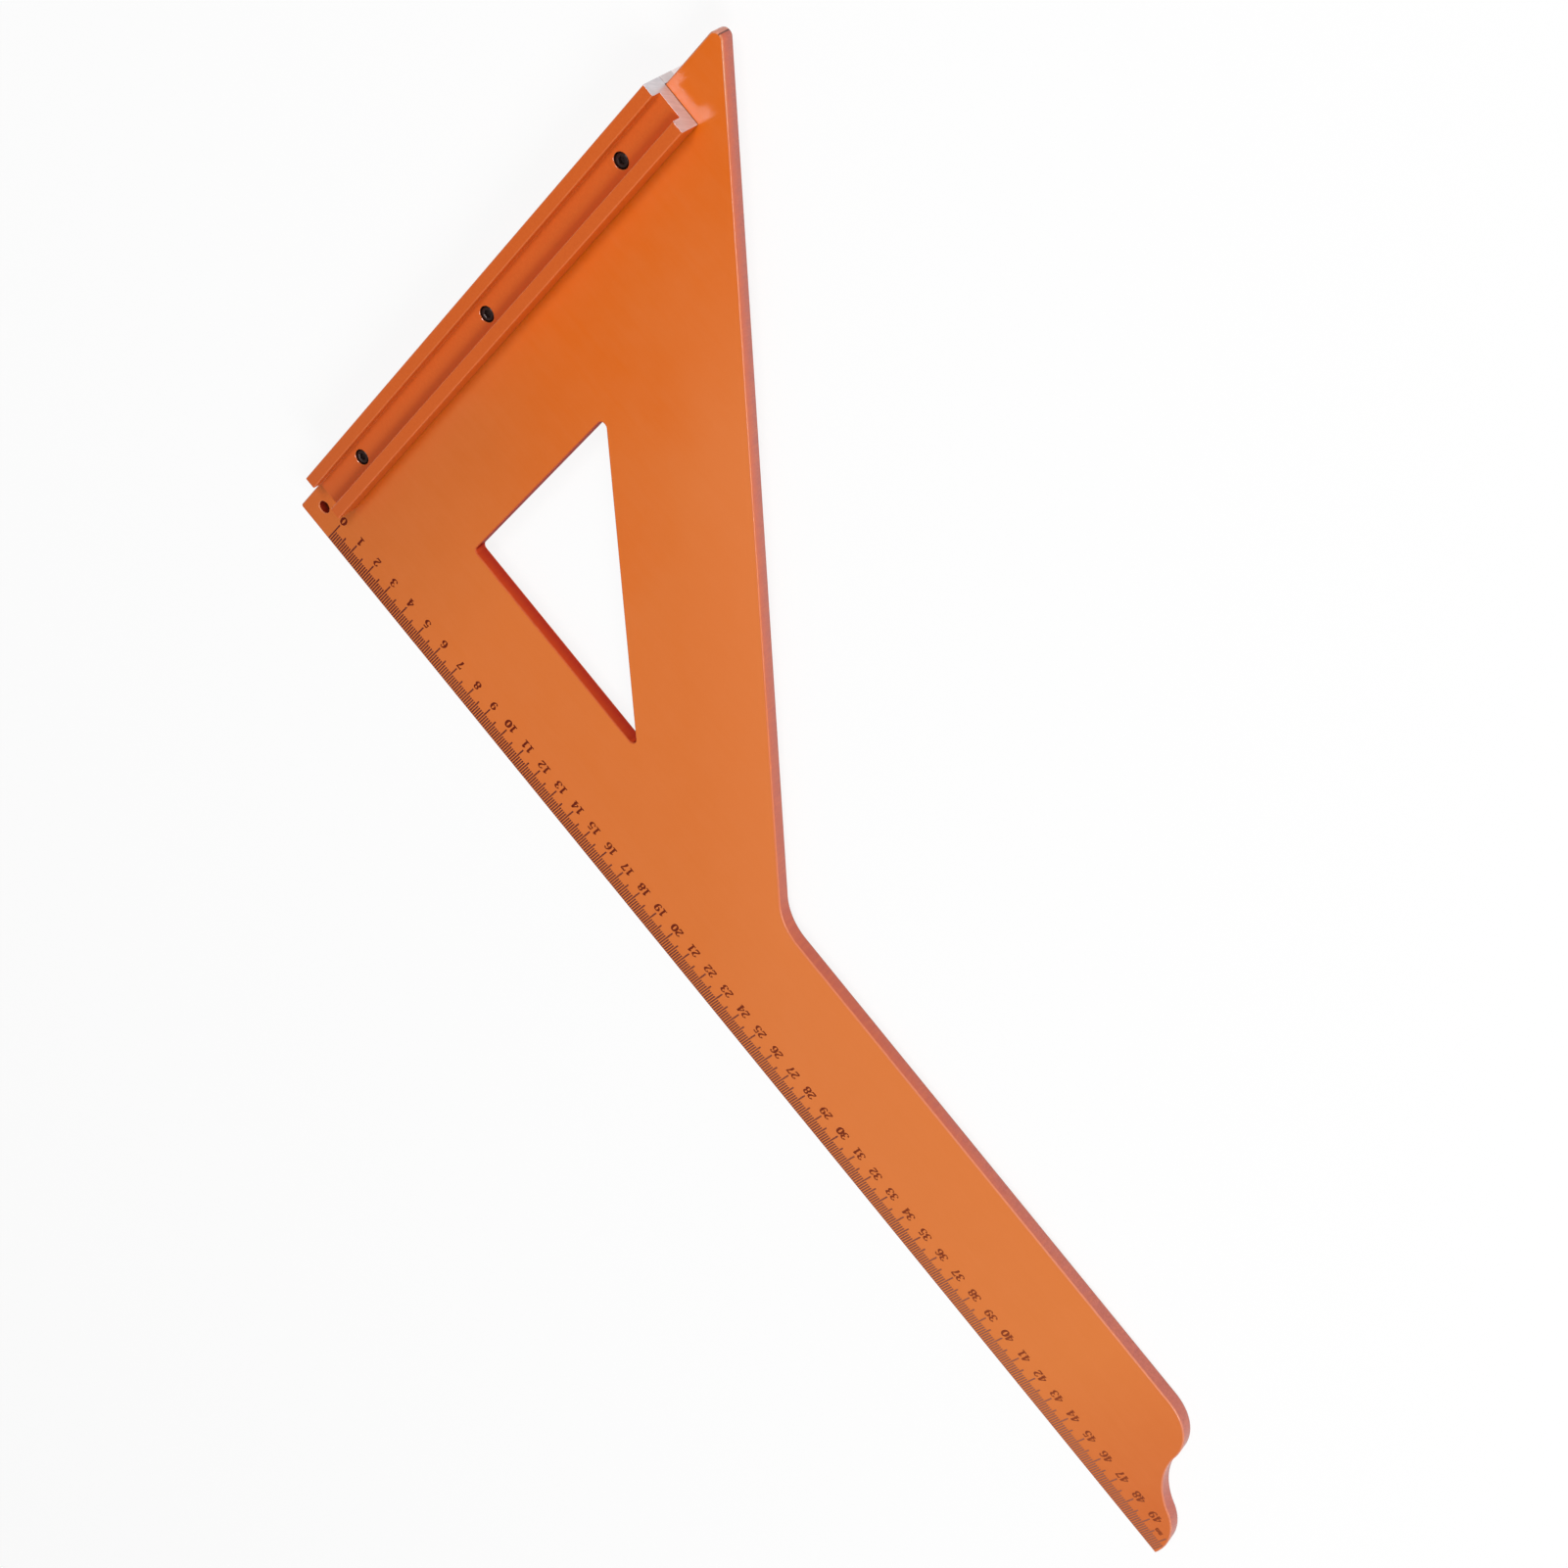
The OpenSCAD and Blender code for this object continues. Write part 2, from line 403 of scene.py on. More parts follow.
def plate_rim_tone(place):
    """An edge break: pale from wear and from painted highlight, most at the tip and the arm, and dark with
    painted shade where it faces the bench.

    Round the small holes it is pale with wear and painted highlight, and round the window it keeps the red
    of the wall."""
    x, y, z = place.axes()
    # Pale rims: partly wear, partly painted highlight.
    wear_and_highlight = x.between(150 * MM, 350 * MM).blend(srgb(204, 106, 62), srgb(205, 122, 92))
    wear_and_highlight = y.between(272 * MM, 284 * MM).blend(wear_and_highlight, srgb(204, 128, 92))
    # Rims that face the bench: painted shade.
    colour = z.between(*wall_span).blend(srgb(140, 72, 60), wear_and_highlight)
    colour = place.mark("hole").blend(witnessed(x, y, colour), srgb(216, 126, 82))
    return place.mark("dull_rim").blend(colour, srgb(192, 78, 28))


def dyed_hole(name, window, bore):
    """The wall of a hole: bright metal under a deep red of painted shade,
    in a tone for its foot and one for its top.
    """
    material, shader, place = new_finish(name)
    level = place.axes()[2].between(*wall_span)
    milled = place.stretched((1, 1, 0.15)).noise(900, 2).between(0.3, 0.75)
    bores = place.mark("bore")
    # Painted shade: deep red, darkest towards the foot of each wall.
    colour = bores.blend(level.blend(*window), level.blend(*bore))
    feed(
        shader,
        Base_Color=(milled * 0.08).blend(colour, srgb(214, 110, 50)),
        Metallic=0.75,
        Roughness=0.36 + milled * 0.06 + bores * 0.2,
        Normal=bumped(place, milled, 0.05, 0.02 * MM),
        Specular_IOR_Level=0.2,
        Specular_Tint=srgb(150, 80, 70),
    )
    return material


orange_face = anodised("orange_anodised_plate", plate_tone, plate_wall_tone, plate_rim_tone)
red_hole = dyed_hole(
    "red_hole_wall_painted_shade",
    window=(srgb(172, 48, 32), srgb(196, 66, 32)),
    bore=(srgb(40, 8, 5), srgb(170, 40, 25)),
)
blade.data.materials.append(orange_face)
blade.data.materials.append(red_hole)
in_hole = [mark.value for mark in blade.data.attributes["hole"].data]
on_wall = [mark.value for mark in blade.data.attributes["wall"].data]
for polygon in blade.data.polygons:
    polygon.material_index = int(in_hole[polygon.index] * on_wall[polygon.index])
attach(blade, "root")
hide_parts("blade")


# Scale ticks
# Millimetre ticks from 0 to 502, burnt dark brown into the anodised face by a laser along the scale edge.
# Every fifth is longer, and every tenth the longest.
mark_high = 0.02 * MM
mark_sunk = 0.03 * MM
tick_start = edge_break


class Graph:
    """A Geometry Nodes tree under construction, with named inputs for its sizes."""

    def __init__(self, name):
        self.tree = bpy.data.node_groups.new(name, "GeometryNodeTree")
        self.tree.interface.new_socket("Geometry", in_out="OUTPUT", socket_type="NodeSocketGeometry")
        self.source = self.tree.nodes.new("NodeGroupInput")
        self.sink = self.tree.nodes.new("NodeGroupOutput")
        self.values = {}

    def size(self, name, kind, value):
        """Adds a named input, and gives the output that carries it."""
        entry = self.tree.interface.new_socket(name, in_out="INPUT", socket_type=kind)
        self.values[entry.identifier] = value
        return self.source.outputs[name]

    def node(self, kind, settings, sockets, result=0):
        """Adds a node: its settings first, then the values or links of its sockets."""
        made = self.tree.nodes.new(kind)
        for name, value in settings.items():
            setattr(made, name, value)
        for key, value in sockets.items():
            if isinstance(value, bpy.types.NodeSocket):
                self.tree.links.new(value, made.inputs[key])
            else:
                made.inputs[key].default_value = value
        return made.outputs[result]

    def maths(self, operation, *terms):
        return self.node("ShaderNodeMath", {"operation": operation}, dict(enumerate(terms)))

    def vector(self, x, y, z):
        return self.node("ShaderNodeCombineXYZ", {}, {0: x, 1: y, 2: z})

    def mesh(self, name, geometry, finish):
        """Ends the tree in real faces with one finish, and turns its result into a plain mesh piece."""
        solid = self.node("GeometryNodeRealizeInstances", {}, {0: geometry})
        dressed = self.node("GeometryNodeSetMaterial", {}, {"Geometry": solid, "Material": finish})
        self.tree.links.new(dressed, self.sink.inputs[0])
        carrier = bpy.data.objects.new(name + "_carrier", bpy.data.meshes.new(name + "_carrier"))
        bpy.context.collection.objects.link(carrier)
        modifier = carrier.modifiers.new("Nodes", "NODES")
        modifier.node_group = self.tree
        for identifier, value in self.values.items():
            modifier[identifier] = value
        view = bpy.context.evaluated_depsgraph_get()
        data = bpy.data.meshes.new_from_object(carrier.evaluated_get(view), depsgraph=view)
        data.name = name
        carrier.modifiers.remove(modifier)
        bpy.data.objects.remove(carrier)
        piece = bpy.data.objects.new(name, data)
        bpy.context.collection.objects.link(piece)
        return piece


def laser_mark(name, dark, light):
    """A matt burn in the face, paler where the beam ran faster."""
    material, shader, place = new_finish(name)
    burn = place.noise(900, 3).between(0.3, 0.7)
    fade = place.noise(22, 2).between(0.35, 0.7)
    along_scale = place.axes()[0].between(0.0, 450 * MM)
    away = along_scale * along_scale
    feed(
        shader,
        Base_Color=(burn * 0.2 + fade * 0.15 + away * 0.65).blend(dark, light),
        Roughness=0.6 + burn * 0.15,
        Normal=bumped(place, burn, 0.1, 0.01 * MM),
        Specular_IOR_Level=0.1,
    )
    return material


graph = Graph("scale_ticks")
count = graph.size("Count", "NodeSocketInt", 503)
pitch = graph.size("Pitch", "NodeSocketFloat", 1 * MM)
start = graph.size("Start", "NodeSocketFloat", tick_start)
width = graph.size("Width", "NodeSocketFloat", 0.58 * MM)
reach_one = graph.size("Millimetre Reach", "NodeSocketFloat", 6.2 * MM)
reach_five = graph.size("Five Reach", "NodeSocketFloat", 8.2 * MM)
reach_ten = graph.size("Ten Reach", "NodeSocketFloat", 10.3 * MM)
thick = graph.size("Thickness", "NodeSocketFloat", mark_high + mark_sunk)
lift = graph.size("Lift", "NodeSocketFloat", face_z + (mark_high - mark_sunk) / 2)
first_point = graph.vector(0.0, start, lift)
line = graph.node(
    "GeometryNodeMeshLine",
    {"mode": "OFFSET"},
    {"Count": count, "Start Location": first_point, "Offset": graph.vector(pitch, 0.0, 0.0)},
)
number = graph.node("GeometryNodeInputIndex", {}, {})
fifth = graph.maths("COMPARE", graph.maths("MODULO", number, 5.0), 0.0, 0.1)
tenth = graph.maths("COMPARE", graph.maths("MODULO", number, 10.0), 0.0, 0.1)
five_more = graph.maths("MULTIPLY", fifth, graph.maths("SUBTRACT", reach_five, reach_one))
ten_more = graph.maths("MULTIPLY", tenth, graph.maths("SUBTRACT", reach_ten, reach_five))
reach = graph.maths("ADD", reach_one, graph.maths("ADD", five_more, ten_more))
tick_length = graph.maths("SUBTRACT", reach, start)
block = graph.node("GeometryNodeMeshCube", {}, {"Size": (1, 1, 1)})
tick = graph.node("GeometryNodeTransform", {}, {"Geometry": block, "Translation": (0, 0.5, 0)})
ticks = graph.node(
    "GeometryNodeInstanceOnPoints",
    {},
    {"Points": line, "Instance": tick, "Scale": graph.vector(width, tick_length, thick)},
)
tick_mark = laser_mark("brown_tick_mark", srgb(92, 26, 21), srgb(156, 99, 80))
scale_ticks = graph.mesh("scale_ticks", ticks, tick_mark)
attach(scale_ticks, "root")


# Scale numbers
# The centimetre numbers and the unit, burnt in with the ticks in a bold book face with serifs.
# They stand head to the scale edge, so they read from the tool's far side.
digit_h = 4.25 * MM
digit_foot_y = 15.5 * MM
digit_step = 0.63
number_ahead = 0.1 * MM
last_number = 49
unit_h = 2.95 * MM
unit_x = 496.1 * MM
unit_foot_y = 10.7 * MM
unit_step = 0.58
stroke_steps = 6
stroke_lift = 0.004 * MM
stroke_rise = 0.012 * MM
stroke_weight = 1.2

# Each stroke is a run of X, Y and width, in shares of a digit's height
top_bowl = [(0.12, 0.74, 0.17), (0.16, 0.89, 0.08), (0.31, 0.955, 0.09), (0.49, 0.82, 0.17)]
low_bowl = [
    (0.53, 0.30, 0.19), (0.44, 0.09, 0.12), (0.29, 0.04, 0.08), (0.14, 0.10, 0.08), (0.11, 0.25, 0.17),
]
six = [
    (0.50, 0.78, 0.16), (0.46, 0.91, 0.08), (0.34, 0.955, 0.09), (0.16, 0.76, 0.15), (0.11, 0.44, 0.19),
    (0.16, 0.13, 0.14), (0.31, 0.04, 0.08), (0.48, 0.14, 0.14), (0.52, 0.31, 0.18), (0.46, 0.48, 0.13),
    (0.32, 0.56, 0.07), (0.18, 0.47, 0.07), (0.12, 0.32, 0.10),
]


def ring_stroke(x, y, across, high, thin, thick):
    """A closed oval stroke, thick at its sides and thin at its top and foot."""
    turns = [2 * pi * i / 12 for i in range(12)]
    points = [(x + across * cos(t), y + high * sin(t), thin + (thick - thin) * abs(cos(t))) for t in turns]
    return points + points[:1]


letters = {
    "0": [ring_stroke(0.31, 0.5, 0.225, 0.43, 0.13, 0.2)],
    "1": [
        [(0.33, 0.99, 0.17), (0.33, 0.02, 0.17)],
        [(0.34, 0.95, 0.13), (0.24, 0.85, 0.13), (0.10, 0.80, 0.10)],
        [(0.08, 0.045, 0.10), (0.58, 0.045, 0.10)],
    ],
    "2": [
        top_bowl + [(0.47, 0.62, 0.17), (0.32, 0.42, 0.13), (0.17, 0.26, 0.10), (0.09, 0.08, 0.09)],
        [(0.07, 0.07, 0.14), (0.53, 0.07, 0.14)],
        [(0.535, 0.07, 0.07), (0.555, 0.25, 0.06)],
    ],
    "3": [
        top_bowl + [(0.46, 0.64, 0.16), (0.34, 0.55, 0.09), (0.24, 0.535, 0.07)],
        [(0.24, 0.535, 0.07), (0.38, 0.51, 0.09), (0.50, 0.42, 0.16)] + low_bowl,
    ],
    "4": [
        [(0.43, 0.99, 0.17), (0.43, 0.02, 0.17)],
        [(0.40, 0.97, 0.09), (0.05, 0.30, 0.09)],
        [(0.03, 0.28, 0.09), (0.60, 0.28, 0.09)],
        [(0.25, 0.045, 0.10), (0.61, 0.045, 0.10)],
    ],
    "5": [
        [(0.13, 0.93, 0.13), (0.51, 0.93, 0.13)],
        [(0.155, 0.95, 0.07), (0.13, 0.50, 0.07)],
        [(0.13, 0.52, 0.07), (0.28, 0.61, 0.09), (0.46, 0.54, 0.16)] + low_bowl,
    ],
    "6": [six],
    "7": [
        [(0.06, 0.92, 0.15), (0.56, 0.92, 0.15)],
        [(0.085, 0.92, 0.07), (0.065, 0.72, 0.06)],
        [(0.53, 0.90, 0.08), (0.40, 0.62, 0.11), (0.31, 0.34, 0.17), (0.28, 0.01, 0.19)],
    ],
    "8": [
        ring_stroke(0.31, 0.75, 0.175, 0.205, 0.08, 0.15),
        ring_stroke(0.31, 0.29, 0.21, 0.25, 0.09, 0.18),
    ],
    "9": [[(0.63 - x, 1 - y, w) for x, y, w in six]],
    "m": [
        [(0.09, 0.0, 0.13), (0.09, 0.64, 0.13)],
        [(0.09, 0.50, 0.09), (0.18, 0.60, 0.10), (0.28, 0.48, 0.13), (0.29, 0.0, 0.13)],
        [(0.29, 0.50, 0.09), (0.38, 0.60, 0.10), (0.48, 0.48, 0.13), (0.49, 0.0, 0.13)],
    ],
}


def smooth_run(points, steps):
    """A stroke's points with a smooth curve drawn through them; a run of two stays straight."""
    if len(points) == 2:
        return [Vector(p) for p in points]
    closed = points[0] == points[-1]
    ends = (points[-2], points[1]) if closed else (points[0], points[-1])
    knots = [Vector(p) for p in (ends[0], *points, ends[1])]
    run = []
    for before, first, second, after in zip(knots, knots[1:], knots[2:], knots[3:]):
        for i in range(steps):
            t = i / steps
            bend = (second - before) * t + (2 * before - 5 * first + 4 * second - after) * t * t
            run.append(first + (bend + (3 * first - before - 3 * second + after) * t ** 3) / 2)
    return run + [knots[-2]]


def stroke_sides(points):
    """The left and right sides of a stroke, square to its run."""
    run = smooth_run(points, stroke_steps)
    sides = []
    for i, point in enumerate(run):
        ahead = (run[min(i + 1, len(run) - 1)] - run[max(i - 1, 0)]).to_2d().normalized()
        if points[0] == points[-1] and i in (0, len(run) - 1):
            ahead = (run[1] - run[-2]).to_2d().normalized()
        half = Vector((-ahead.y, ahead.x)) * point.z * stroke_weight / 2
        sides.append((point.to_2d() + half, point.to_2d() - half))
    return sides


letter_sides = {letter: [stroke_sides(points) for points in strokes] for letter, strokes in letters.items()}
number_mesh = bmesh.new()


def burn_in(letter, left_x, foot_y, high):
    """Adds a letter's strokes as thin closed ribbons, turned head to the scale edge."""
    for number, sides in enumerate(letter_sides[letter]):
        rows = []
        low = face_z - mark_sunk
        for i, (left, right) in enumerate(sides):
            top = face_z + mark_high + number * stroke_lift + stroke_rise * i / len(sides)
            corners = ((left, low), (left, top), (right, top), (right, low))
            row = [number_mesh.verts.new((left_x - p.x * high, foot_y - p.y * high, z)) for p, z in corners]
            rows.append(row)
        for row, following in zip(rows, rows[1:]):
            for i in range(4):
                j = (i + 1) % 4
                number_mesh.faces.new((row[i], row[j], following[j], following[i]))
        number_mesh.faces.new(rows[0])
        number_mesh.faces.new(rows[-1])


for centimetre in range(last_number + 1):
    digits = str(centimetre)
    span = digit_step * len(digits) * digit_h
    left_x = centimetre * 10 * MM + number_ahead + span / 2
    for i, digit in enumerate(digits):
        burn_in(digit, left_x - i * digit_step * digit_h, digit_foot_y, digit_h)
for i in range(2):
    burn_in("m", unit_x + (1 - i) * unit_step * unit_h, unit_foot_y, unit_h)
bmesh.ops.recalc_face_normals(number_mesh, faces=number_mesh.faces)
number_data = bpy.data.meshes.new("scale_numbers")
number_mesh.to_mesh(number_data)
number_mesh.free()
number_data.materials.append(laser_mark("brown_number_mark", srgb(96, 18, 4), srgb(146, 72, 40)))
scale_numbers = bpy.data.objects.new("scale_numbers", number_data)
bpy.context.collection.objects.link(scale_numbers)
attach(scale_numbers, "root")


# Lower fence bar
# An aluminium extrusion under the blade, with a channel along its foot and a step for the short edge.
# It is dyed with the blade, then sawn to length, so that its ends are bare metal. It is drilled and tapped
# for the screws.
bar_low, bar_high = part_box("fence_lower")
back_x = bar_low.x
front_x = bar_high.x
foot_z = bar_low.z
lip_t = 4.7 * MM
lip_h = 4 * MM
slot_gap = 0.05 * MM
lip_round = 0.45 * MM
channel_round = 0.3 * MM
slot_round = 0.3 * MM
seam_round = 0.12 * MM
end_break = 0.03 * MM
tapped_r = 1.55 * MM
tapped_flare = 0.25 * MM
past = 1 * MM
mid_z = face_z - blade_t / 2
slot_half = blade_t / 2 + slot_gap
floor_from_mid = mid_z - foot_z - lip_h


def rounded(corners, steps=4):
    """A loop from corners with a radius each, rounded where the radius is more than nothing."""
    loop = []
    for i, (corner, radius) in enumerate(corners):
        before = (corners[i - 1][0] - corner).normalized()
        after = (corners[(i + 1) % len(corners)][0] - corner).normalized()
        half = before.angle(after) / 2
        centre = corner + (before + after).normalized() * radius / sin(half)
        first = corner + before * radius / tan(half)
        last = corner + after * radius / tan(half)
        start = first - centre
        turn = start.angle_signed(last - centre)
        for step in range(steps + 1):
            share = -turn * step / steps
            spun = Vector((
                start.x * cos(share) - start.y * sin(share),
                start.x * sin(share) + start.y * cos(share),
            ))
            loop.append(centre + spun)
    return loop


def turned(mesh, profile, axis_x, axis_y, steps):
    """Adds a turned solid to a mesh, from radius and height pairs that start and end on its axis."""
    rings = []
    for radius, z in profile[1:-1]:
        ring = []
        for i in range(steps):
            turn = 2 * pi * i / steps
            ring.append(mesh.verts.new((axis_x + radius * cos(turn), axis_y + radius * sin(turn), z)))
        rings.append(ring)
    foot = mesh.verts.new((axis_x, axis_y, profile[0][1]))
    head = mesh.verts.new((axis_x, axis_y, profile[-1][1]))
    for i in range(steps):
        j = (i + 1) % steps
        mesh.faces.new((foot, rings[0][j], rings[0][i]))
        mesh.faces.new((head, rings[-1][i], rings[-1][j]))
        for low, high in zip(rings, rings[1:]):
            mesh.faces.new((low[i], low[j], high[j], high[i]))


def stock_tone(place):
    """An even tone with faint clouds and the draw lines of the die."""
    clouds = place.noise(16, 3).between(0.35, 0.72)
    lines = place.stretched((1, 0.03, 1)).noise(900, 2).between(0.3, 0.7)
    colour = place.axes()[1].between(50 * MM, 260 * MM).blend(srgb(202, 90, 24), srgb(209, 90, 16))
    return (clouds * 0.3 + lines * 0.12).blend(colour, srgb(212, 98, 28))


def stock_side_tone(place, speckle):
    """A drawn side: paler at the near end, and redder in the channel's shaded corner and along the foot by
    the blade, where the red is painted shade tinted with bounce light.
    """
    x, y, z = place.axes()
    colour = speckle.blend(srgb(205, 89, 19), srgb(210, 95, 25))
    colour = (1 - y.between(20 * MM, 90 * MM)).blend(colour, srgb(201, 91, 28))
    over_floor = (z - mid_z).unsigned() - floor_from_mid
    on_floor = 1 - over_floor.between(0.15 * MM, 0.55 * MM)
    from_lip = x - (front_x - lip_t)
    by_lip = from_lip.between(-4.8 * MM, -1.8 * MM) * (1 - from_lip.between(0.7 * MM, 1.2 * MM))
    # Painted shade tinted with bounce light: the channel floor in the inner lip's shadow.
    corner = y.between(50 * MM, 250 * MM).blend(srgb(206, 84, 6), srgb(222, 86, 4))
    colour = (by_lip * on_floor).blend(colour, corner)
    # Painted shade tinted with bounce light: the foot of the front side, by the blade.
    on_front = (x - front_x).between(-1 * MM, -0.5 * MM)
    at_foot = on_front * (1 - (z - face_z).between(0.8 * MM, 2.6 * MM))
    return at_foot.blend(colour, srgb(204, 76, 2))


orange_stock = anodised(
    "orange_anodised_stock",
    face=stock_tone,
    wall=stock_side_tone,
    # Rims: paler, partly from wear and partly painted highlight.
    rim=lambda place: srgb(214, 106, 50),
)
bare_end, shader, place = new_finish("sawn_bare_aluminium")
saw_lines = place.node("ShaderNodeMapping", {}, {"Vector": place, "Rotation": (0, radians(28), 0)})
saw_lines = saw_lines.stretched((1, 1, 0.04)).noise(2600, 3, 0.6)
smear = place.noise(260, 2).between(0.3, 0.7)
x, y, z = place.axes()
bare = (saw_lines.between(0.3, 0.7) * 0.6 + smear * 0.3).blend(srgb(198, 193, 197), srgb(228, 223, 226))
# Painted light: the lower bar's end is paler, where it sits in the blade's shade.
bare = z.between(face_z - 0.2 * MM, face_z).blend(srgb(240, 230, 230), bare)
# Painted shade: a dark line along the slot, strongest by the blade's short edge.
over_slot = (z - mid_z).unsigned() - slot_half
by_blade = x.between(short_x - 0.2 * MM, short_x) * 0.75 + 0.25
joint_shade = by_blade * (1 - over_slot.between(0.2 * MM, 0.4 * MM))
feed(
    shader,
    Base_Color=joint_shade.blend(bare, srgb(84, 44, 34)),
    Metallic=0.68,
    Roughness=0.28 + saw_lines * 0.12,
    Normal=bumped(place, saw_lines, 0.2, 0.03 * MM),
)


def sawn_bar(name, corners, ends, lip_z, drill_profile):
    """A bar of one section between two ends, drilled at each screw with a turned profile."""
    section = [(Vector((x, z)), radius) for x, z, radius in corners]
    rings = [
        (end_break, ends[0], "edge_break"),
        (0.0, ends[0] + end_break, "wall"),
        (0.0, ends[1] - end_break, "edge_break"),
        (end_break, ends[1], "edge_break"),
    ]
    stock = prism(name, [(list(reversed(rounded(section))), 1)], rings, lambda a, b, depth: (a, depth, b))
    for polygon in stock.data.polygons:
        polygon.material_index = int(abs(polygon.normal.y) > 0.5)
    breaks = stock.data.attributes["edge_break"].data
    slot_joint_shade = stock.data.attributes["bore"].data
    for polygon in stock.data.polygons:
        is_rounding = min(abs(polygon.normal.x), abs(polygon.normal.z)) > 0.15
        if is_rounding:
            breaks[polygon.index].value = float(abs(polygon.center.z - lip_z) < lip_round)
            # The slot's rounds take the bore mark: a dark line of painted shade along the joint with the
            # blade.
            slot_joint_shade[polygon.index].value = float(abs(polygon.center.z - mid_z) < slot_half + slot_round)
    drill_mesh = bmesh.new()
    for screw_y in screw_ys:
        turned(drill_mesh, drill_profile, screw_x, screw_y, 48)
    bmesh.ops.recalc_face_normals(drill_mesh, faces=drill_mesh.faces)
    bore_mark = drill_mesh.faces.layers.float.new("bore")
    flare_mark = drill_mesh.faces.layers.float.new("edge_break")
    for side in drill_mesh.faces:
        is_flare = 0.1 < abs(side.normal.z) < 0.9
        side[bore_mark] = float(not is_flare)
        side[flare_mark] = float(is_flare)
    drill_data = bpy.data.meshes.new("drills")
    drill_mesh.to_mesh(drill_data)
    drill_mesh.free()
    drills = bpy.data.objects.new("drills", drill_data)
    bpy.context.collection.objects.link(drills)
    for piece in (stock, drills):
        piece.data.materials.append(orange_stock)
        piece.data.materials.append(bare_end)
    drilling = stock.modifiers.new("Drilling", "BOOLEAN")
    drilling.operation = "DIFFERENCE"
    drilling.solver = "EXACT"
    drilling.object = drills
    applied(stock, drilling)
    bpy.data.objects.remove(drills)
    shade_evenly(stock)
    return stock


lower_corners = [
    (back_x, face_z, seam_round),
    (short_x - slot_gap, face_z, seam_round),
    (short_x - slot_gap, mid_z - slot_half, seam_round),
    (front_x, mid_z - slot_half, slot_round),
    (front_x, foot_z, lip_round),
    (front_x - lip_t, foot_z, lip_round),
    (front_x - lip_t, foot_z + lip_h, channel_round),
    (back_x + lip_t, foot_z + lip_h, channel_round),
    (back_x + lip_t, foot_z, lip_round),
    (back_x, foot_z, lip_round),
]
tapped_profile = [
    (0, foot_z + lip_h - past),
    (tapped_r + tapped_flare, foot_z + lip_h - past),
    (tapped_r + tapped_flare, foot_z + lip_h),
    (tapped_r, foot_z + lip_h + tapped_flare),
    (tapped_r, mid_z),
    (0, mid_z),
]
fence_lower = sawn_bar("fence_lower_bar", lower_corners, (bar_low.y, bar_high.y), foot_z, tapped_profile)
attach(fence_lower, "root")
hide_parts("fence_lower")


# Upper fence bar
# The same extrusion without the step: a channel that lies flat on the blade and on the lower bar's wall.
# It is dyed, sawn to length, and counterbored for the three screw heads in the floor of its channel.
bar_low, bar_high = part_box("fence_upper")
top_z = bar_high.z
floor_z = top_z - lip_h
seat_z = 1.75 * MM
clear_r = 1.7 * MM
counterbore_r = 3.05 * MM
counterbore_flare = 0.2 * MM
upper_corners = [
    (back_x, top_z, lip_round),
    (back_x + lip_t, top_z, lip_round),
    (back_x + lip_t, floor_z, channel_round),
    (front_x - lip_t, floor_z, channel_round),
    (front_x - lip_t, top_z, lip_round),
    (front_x, top_z, lip_round),
    (front_x, face_z + slot_gap, slot_round),
    (back_x, face_z + slot_gap, seam_round),
]
counterbore_profile = [
    (0, face_z - past),
    (clear_r, face_z - past),
    (clear_r, seat_z),
    (counterbore_r, seat_z),
    (counterbore_r, floor_z - counterbore_flare),
    (counterbore_r + counterbore_flare, floor_z),
    (counterbore_r + counterbore_flare, floor_z + past),
    (0, floor_z + past),
]
fence_upper = sawn_bar("fence_upper_bar", upper_corners, (bar_low.y, bar_high.y), top_z, counterbore_profile)
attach(fence_upper, "root")
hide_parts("fence_upper")


# Screws
# Three M3 hex socket cap screws of blackened steel, sunk in the counterbores of the upper channel.
# Each is forged with a knurled head, threaded, and turned down into the lower bar.
screw_low, screw_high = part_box("screw_low")
head_r = 2.75 * MM
shank_r = 1.5 * MM
thread_depth = 0.27 * MM
thread_pitch = 0.5 * MM
socket_across = 2.5 * MM
socket_flare = 0.18 * MM
socket_depth = 1.5 * MM
socket_cone = 0.3 * MM
knurl_depth = 0.05 * MM
knurl_foot = 0.2 * MM
knurl_top = 0.75 * MM
point_break = 0.3 * MM
neck = 0.4 * MM
crown_steps = ((0.05, 0.62), (0.12, 0.38), (0.34, 0.17), (0.66, 0.05))
screw_sides = 96

screw_mesh = bmesh.new()


def circle_ring(radius, z, knurled=0.0):
    """A ring of a screw, with every other point drawn in where it is knurled."""
    ring = []
    for i in range(screw_sides):
        turn = 2 * pi * i / screw_sides
        reach = radius - knurled * (i % 2)
        ring.append(screw_mesh.verts.new((reach * cos(turn), reach * sin(turn), z)))
    return ring


def hex_ring(across, z):
    """A ring of the same number of points round a hexagon."""
    ring = []
    for i in range(screw_sides):
        turn = 2 * pi * i / screw_sides
        reach = across / 2 / cos((turn + pi / 6) % (pi / 3) - pi / 6)
        ring.append(screw_mesh.verts.new((reach * cos(turn), reach * sin(turn), z)))
    return ring


